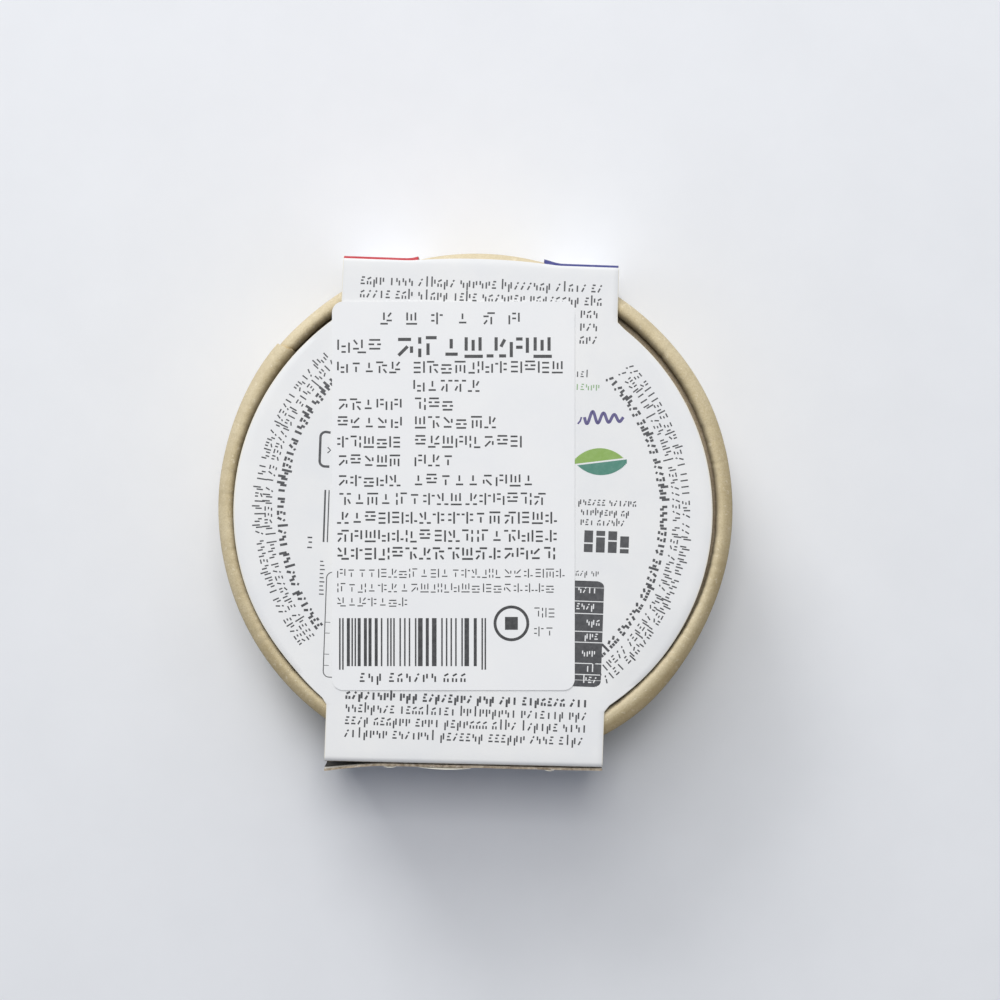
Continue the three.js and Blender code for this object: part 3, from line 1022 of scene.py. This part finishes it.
def marks(ink, draw, left, foot, length, size, weight, dense=False, spaced=1.0):
    """Fills a length of a line, in mm, with groups of strokes, as a stand-in for printed wording.

    foot is how far down the marks' feet are. Dense marks are square and fill their cells.
    """
    at, line, length, size, weight = mm(left, foot, length, size, weight)
    end = at + length
    cell, gap, pause = (0.9, 0.16, 0.12) if dense else (0.52, 0.1, 0.34)
    while at < end - size * 0.4:
        for _ in range(draw.randint(3, 9)):
            width = size * cell
            if at + width > end:
                break
            for x0, y0, x1, y1 in square_cell(draw) if dense else narrow_cell(draw):
                ink.ribbon([(at + x0 * size, line - y0 * size), (at + x1 * size, line - y1 * size)], weight)
            at += width + size * gap + size * (spaced - 1)
        at += size * pause


# Wording on the label: (from the left edge, from the top edge to the feet, length, size, weight) in mm.
LABEL_TITLE = [(0.8, 8.8, 9.0, 2.5, 0.3), (10.6, 9.5, 30.2, 3.7, 0.55)]
LABEL_SMALL_HEADS = [12.2, 18.5, 21.6, 24.9, 28.1, 31.5]
LABEL_ROWS = [
    (13.8, 12.2, 25.8, 2.2, 0.3),
    (13.8, 15.4, 13.6, 2.2, 0.3),
    (14.0, 18.5, 7.0, 2.2, 0.3),
    (14.0, 21.6, 14.2, 2.2, 0.3),
    (14.0, 24.9, 20.2, 2.2, 0.3),
    (14.0, 28.1, 8.0, 2.2, 0.3),
    (13.6, 31.5, 23.2, 2.2, 0.3),
    (1.2, 34.7, 35.4, 2.2, 0.29),
    (0.8, 37.9, 39.2, 2.2, 0.31),
    (0.8, 41.0, 38.0, 2.2, 0.31),
    (0.8, 44.0, 38.0, 2.2, 0.33),
]
LABEL_NOTES = [(0.8, 47.1, 39.6, 1.65, 0.19), (0.8, 49.6, 38.2, 1.65, 0.19), (0.8, 52.0, 13.6, 1.65, 0.19)]
BAR_MODULES = 95
BAR_MODULE = 25.08 / BAR_MODULES


def label_print():
    draw = random.Random(SEED)
    ink = Ink(on_label)
    for foot in LABEL_SMALL_HEADS:
        marks(ink, draw, 0.8, foot, 11.8, 2.1, 0.3, dense=True)
    marks(ink, draw, 8.2, 3.9, 28.0, 2.2, 0.3, dense=True, spaced=1.9)
    for row in LABEL_TITLE + LABEL_ROWS + LABEL_NOTES:
        marks(ink, draw, *row, dense=True)
    bar_code(ink, draw)
    marks(ink, draw, 4.6, 64.9, 19.2, 2.0, 0.3, spaced=1.1)
    plain_ring_mark(ink, draw)
    ink.piece("label_print", BLACK_INK, "label_paper")


def bar_code(ink, draw):
    """Bars of random widths between two pairs of long guards. They encode nothing."""
    left, top, height = 1.2, 54.0, 8.2
    for first in (0, BAR_MODULES - 3):
        for step in (0, 2):
            ink.block(*mm(left + (first + step) * BAR_MODULE, top, BAR_MODULE, height + 0.6))
    at = 5
    while at < BAR_MODULES - 6:
        width = draw.choice((1, 1, 1, 2, 2, 3))
        ink.block(*mm(left + at * BAR_MODULE, top, width * BAR_MODULE, height))
        at += width + draw.choice((1, 1, 2, 2, 3))


def plain_ring_mark(ink, draw):
    """A plain ring round a small square, and two short lines of marks beside it."""
    centre = mm(30.6, 54.9)
    ink.ribbon(arc(centre, 2.8 * MM, 0, 360, 48), 0.5 * MM)
    ink.block(*mm(29.5, 53.8, 2.2, 2.2))
    for foot in (53.9, 57.1):
        marks(ink, draw, 34.4, foot, 4.6, 1.8, 0.18, dense=True)


def on_label(u, v, lift):
    x, y = label_point(u, v)
    return x, y, label_height(x, y) + lift


def on_back(u, v, lift):
    """The sleeve's back panel: across and down from the box's axis."""
    return u, -v, panel_height(u, -v) + lift


def on_arc(radius):
    """The back panel, bent round the disc, with the tops of the marks towards its centre."""
    def surface(u, v, lift):
        reach, angle = radius + v, u / radius
        x = SLEEVE_SHIFT + reach * math.cos(angle)
        y = DISC_SHIFT + reach * math.sin(angle)
        return x, y, panel_height(x, y) + lift
    return surface


# Wording on the sleeve, in mm: how far down each line's foot is, and the arcs' (radius, weight).
TEXT_LEFT, TEXT_WIDTH, TEXT_SIZE = -21.1, 41.5, 1.75
TEXT_LINES_ABOVE = [-37.9, -35.65]
TEXT_LINES_BESIDE = [-33.5, -31.3, -29.1]
TEXT_LINES_BELOW = [(32.9, 0.36), (35.1, 0.27), (37.2, 0.27), (39.4, 0.27)]
SMALL_ROWS = [
    (16.2, -23.4, 3.0, 1.3, 0.2),
    (17.4, -1.6, 10.6, 1.3, 0.22),
    (17.9, 0.1, 8.6, 1.3, 0.22),
    (17.9, 1.8, 8.4, 1.3, 0.22),
    (17.4, 10.5, 4.2, 1.2, 0.17),
]
ARC_LINES = [(32.8, 0.42), (35.0, 0.24), (36.7, 0.24)]


def sleeve_print():
    draw = random.Random(SEED + 1)
    ink = Ink(on_back)
    rows = [(TEXT_LEFT, foot, TEXT_WIDTH, TEXT_SIZE, 0.27) for foot in TEXT_LINES_ABOVE]
    rows += [(16.6, foot, 3.9, TEXT_SIZE, 0.26) for foot in TEXT_LINES_BESIDE]
    rows += [(TEXT_LEFT, foot, TEXT_WIDTH, TEXT_SIZE, weight) for foot, weight in TEXT_LINES_BELOW]
    for row in rows + SMALL_ROWS:
        marks(ink, draw, *row)
    bold_mark(ink)
    table(ink)
    side_marks(ink, draw)
    ink.piece("sleeve_print", GREY_INK)
    curved_print(draw)
    colour_marks(draw)
    table_figures(draw)
    front_print()
    wall_print(draw)


def curved_print(draw):
    """Three curved lines of marks at each side of the disc."""
    for side, first, last in (("right", -50, 47), ("left", 134.7, 220.4)):
        ink = Ink(None)
        for radius, weight in ARC_LINES:
            ink.surface = on_arc(radius * MM)
            length = math.radians(last - first) * radius
            marks(ink, draw, math.radians(first) * radius, 0.5, length, TEXT_SIZE, weight)
        ink.piece(f"curved_print_{side}", GREY_INK)


def bold_mark(ink):
    """Four bold upright blocks, each cut at its own height."""
    for n, cut in enumerate((0.62, 0.3, 0.48, 0.75)):
        left, tall = 18.7 + n * 2.05, (3.7, 3.7, 3.7, 2.9)[n]
        ink.block(*mm(left, 6.4 - tall, 1.5, tall * cut - 0.25))
        ink.block(*mm(left, 6.4 - tall * (1 - cut), 1.5, tall * (1 - cut)))


TABLE_LEFT, TABLE_RIGHT, TABLE_TOP, TABLE_BOTTOM = -25.0, 22.4, 11.4, 29.3
TABLE_COLUMN = 17.2
TABLE_FIGURES = [(13.4, 4.0), (16.2, 4.2), (18.9, 2.4), (21.3, 2.6), (24.2, 3.0), (26.8, 2.2), (28.7, 2.6)]
TABLE_LINES = [14.8, 16.9, 19.95, 21.8, 25.4, 27.3]


def table(ink):
    """A rounded table outline with a solid right-hand column cut by white lines."""
    left, right, top, bottom = TABLE_LEFT, TABLE_RIGHT, TABLE_TOP, TABLE_BOTTOM
    corner = 1.0
    outline = [(right - corner, top)] + arc((left + corner, top + corner), corner, 270, 180, 6)
    outline += arc((left + corner, bottom - corner), corner, 180, 90, 6) + [(right - corner, bottom)]
    for i in range(len(outline) - 1):
        ink.bar(mm(*outline[i]), mm(*outline[i + 1]), 0.16 * MM)
    for line in TABLE_LINES[2:]:
        ink.bar(mm(left, line), mm(left + 0.9, line), 0.1 * MM)
    edges = [top] + TABLE_LINES + [bottom]
    first, width = TABLE_COLUMN, right - TABLE_COLUMN
    for upper, lower in zip(edges, edges[1:]):
        low = lower - 0.08 - (corner if lower == bottom else 0)
        high = upper + 0.08 + (corner if upper == top else 0)
        ink.block(*mm(first, high, width, low - high))
    steps = 8
    for n in range(steps):
        rise = corner * (n + 0.5) / steps
        short = corner - math.sqrt(corner**2 - rise**2)
        for edge in (bottom - corner + corner * n / steps, top + corner - corner * (n + 1) / steps):
            ink.block(*mm(first, edge, width - short, corner / steps * 1.02))


def table_figures(draw):
    """Short white marks at the right of the column's cells."""
    ink = Ink(lambda u, v, lift: on_back(u, v, lift + Ink.THICK))
    for foot, length in TABLE_FIGURES:
        marks(ink, draw, TABLE_RIGHT - 0.5 - length, foot, length, 1.35, 0.2)
    ink.piece("table_figures", CARD_WHITE)


def side_marks(ink, draw):
    """Small marks left of the label: a bracket, a pair of rules and an upright line of marks."""
    for x, weight in ((-25.75, 0.3), (-25.1, 0.2)):
        ink.bar(mm(x, -2.6), mm(x, 6.3), weight * MM)
    bracket = [(-25.2, -12.4)] + arc((-26.0, -11.6), 0.9, 270, 180, 5) + arc((-26.0, -7.5), 0.9, 180, 90, 5)
    ink.ribbon(mm_line([*bracket, (-25.2, -6.6)]), 0.42 * MM)
    ink.ribbon(mm_line([(-25.6, -9.9), (-25.1, -9.4), (-25.6, -8.9)]), 0.2 * MM)
    for left, y in ((-28.5, 5.6), (-28.3, 6.4), (-28.5, 7.3)):
        ink.bar(mm(left, y), mm(-27.7, y), 0.25 * MM)
    for step in range(9):
        y = 9.6 + step * 0.7
        ink.bar(mm(-26.2, y), mm(-26.2 + draw.uniform(0.5, 1.0), y), 0.2 * MM)


def colour_marks(draw):
    """The coloured marks right of the label: a green line, a purple flourish and a leaf."""
    green = Ink(on_back)
    marks(green, draw, 16.2, -21.2, 4.6, 1.4, 0.2)
    green.piece("green_marks", GREEN_INK)

    purple = Ink(on_back)
    wave = [(18.0 + 0.067 * n, -16.6 + 1.15 * math.sin(n / 4.4) * (1 - n / 170)) for n in range(100)]
    purple.ribbon(mm_line(wave), 0.52 * MM)
    purple.ribbon(mm_line([(16.9, -15.4), (17.3, -15.9), (17.5, -16.6)]), 0.3 * MM)
    purple.piece("purple_flourish", PURPLE_INK)
    leaf(1, "leaf_light", LEAF_INK)
    leaf(-1, "leaf_dark", TEAL_INK)


def leaf(side, name, material):
    """One half of a plain pointed leaf. A white vein is left between the halves."""
    ink = Ink(on_back)
    centre, half, tall, steps = (21.0, -9.1), 4.5, 2.3, 44
    for n in range(steps):
        t = -1 + (n + 0.5) * 2 / steps
        across = centre[0] + half * t
        inner = centre[1] - 0.7 * t - side * 0.14
        edge = centre[1] - side * tall * (1 - t * t) ** 0.8
        if side * (inner - edge) > 0.02:
            ink.ribbon(mm_line([(across, inner), (across, edge)]), 2 * half / steps * MM * 1.03)
    ink.piece(name, material)


def on_front(u, v, lift):
    """The sleeve's front panel, seen from below."""
    return u + SLEEVE_SHIFT, v, -lift


def on_wall(u, v, lift):
    """The sleeve's outer wall: across, and up from the front face."""
    x = u + SLEEVE_SHIFT
    waves = 0.05 * MM * bumps(x * 160, v * 60, 8.0)
    y = WALL_LINE - CARD / 2 + END_SKEW * u - corner_splay(x, v) - waves
    return x, y - lift, v


def wedge_outline():
    """A plain cut wedge, as the two sides, the back and the thickness lines of a drawing."""
    tip, left, right, deep = (0, -9), (-13, 4), (13, 4), 6
    top = [tip, right] + arc((0, 2), 13.2, 8.7, 171.3, 16) + [left, tip]
    side = [tip, (0, -9 - deep)], [left, (-13, 4 - deep), (0, -9 - deep), (13, 4 - deep), right]
    return [top, *side]


def coloured_band(surface, name, material, low, count, step, width, half_at):
    """A band of solid colour, in mm from low upwards, in close bars. half_at gives half its width."""
    band = Ink(surface)
    for n in range(count):
        v = (low + n * step + step / 2) * MM
        band.bar((-half_at(v), v), (half_at(v), v), width * MM)
    band.piece(name, material)


def front_print():
    """Plain artwork on the front: two coloured bands, a double ring and a simple wedge."""
    rings = Ink(on_front)
    for radius, width in ((37.6, 0.9), (36.2, 0.3)):
        rings.ribbon(arc((0, DISC_SHIFT), radius * MM, 0, 360, 180), width * MM)
    for line in wedge_outline():
        rings.ribbon(mm_line(line), 0.7 * MM)
    for u, v, radius in ((-4.5, 4.5, 1.9), (4.2, 7.2, 1.4), (3.2, -0.6, 1.1), (-8.2, 7.8, 1.0)):
        rings.ribbon(arc(mm(u, v), radius * MM, 0, 360, 24), 0.45 * MM)
    rings.piece("front_rings", BLUE_PRINT)
    half_at = lambda v: math.sqrt((34.6 * MM) ** 2 - v**2)
    coloured_band(on_front, "front_red", RED_PRINT, 21.5, 11, 0.5, 0.53, half_at)
    coloured_band(on_front, "front_blue", BLUE_PRINT, -27.0, 11, 0.5, 0.53, half_at)


def wall_print(draw):
    """The outer wall: a red and a blue band with three rows of plain dashes between them."""
    half_at = lambda v: 23 * MM
    coloured_band(on_wall, "wall_red", RED_PRINT, 22.0, 6, 0.8, 0.84, half_at)
    coloured_band(on_wall, "wall_blue", BLUE_PRINT, 5.0, 6, 0.8, 0.84, half_at)
    rows = Ink(on_wall)
    for height, width in ((17.6, 1.3), (14.6, 0.8), (12.6, 0.8)):
        at = -19.0
        while at < 16:
            dash = min(draw.uniform(2, 7), 19 - at)
            rows.bar(mm(at, height), mm(at + dash, height), width * MM)
            at += dash + 1.2
    rows.piece("wall_marks", GREY_INK)


# ---------------------------------------------------------------- floor, light and camera
def floor():
    half, level = 1.2, -0.05 * MM
    mesh = bpy.data.meshes.new("floor")
    corners = [(-half, -half), (half, -half), (half, half), (-half, half)]
    mesh.from_pydata([(x, y, level) for x, y in corners], [], [(0, 1, 2, 3)])
    mesh.materials.append(plain_floor())
    add_object("floor", mesh)


def soft_light(name, left, rise, distance, size, power, colour=(1, 1, 1)):
    """A square soft box aimed at the pack. left is its bearing in degrees, from +Y towards -X."""
    light = bpy.data.lights.new(name, "AREA")
    light.size = size
    light.energy = power
    light.color = colour
    made = add_object(name, light)
    bearing, height = math.radians(left), math.radians(rise)
    level = math.cos(height)
    away = Vector((-math.sin(bearing) * level, math.cos(bearing) * level, math.sin(height)))
    made.location = away * distance
    made.rotation_euler = (-away).to_track_quat("-Z", "Y").to_euler()


def lights():
    soft_light("key", 27, 35, 1.3, 0.46, 5.9)
    soft_light("window", 0, 35, 1.5, 1.36, 5.8, (1, 0.995, 0.985))
    soft_light("high", 15, 60, 1.2, 0.47, 2.1)
    soft_light("overhead", 0, 78, 1.1, 0.3, 3.9, (0.99, 0.99, 1))
    world = bpy.data.worlds.new("studio")
    world.use_nodes = True
    world.node_tree.nodes["Background"].inputs["Color"].default_value = (0.83, 0.89, 1, 1)
    world.node_tree.nodes["Background"].inputs["Strength"].default_value = 0.24
    bpy.context.scene.world = world
    bpy.context.scene.view_settings.view_transform = "Standard"


# The camera sees VIEW_WIDTH at the rim, and VIEW_CENTRE is the frame's middle in the label's directions.
VIEW_WIDTH = 171.4 * MM
CAMERA_HEIGHT = 450 * MM
VIEW_CENTRE = (4.17 * MM, 1.80 * MM)
SENSOR = 36.0


def camera():
    """Straight above the back face, with the label square to the frame."""
    made = bpy.data.cameras.new("camera")
    made.sensor_width = SENSOR
    made.lens = SENSOR * CAMERA_HEIGHT / VIEW_WIDTH
    made.clip_start = 0.01
    eye = add_object("camera", made)
    eye.location = (*with_label(*VIEW_CENTRE), RIM_TOP - RIM_RADIUS + CAMERA_HEIGHT)
    eye.rotation_euler = (0, 0, LABEL_TURN)
    bpy.context.scene.camera = eye


box_rings()
board_panel("base_panel", 1)
board_panel("lid_panel", -1)
cheese_wheel()
inner_wrap()
sleeve()
raised_skins()
label()
label_print()
sleeve_print()
floor()
lights()
camera()
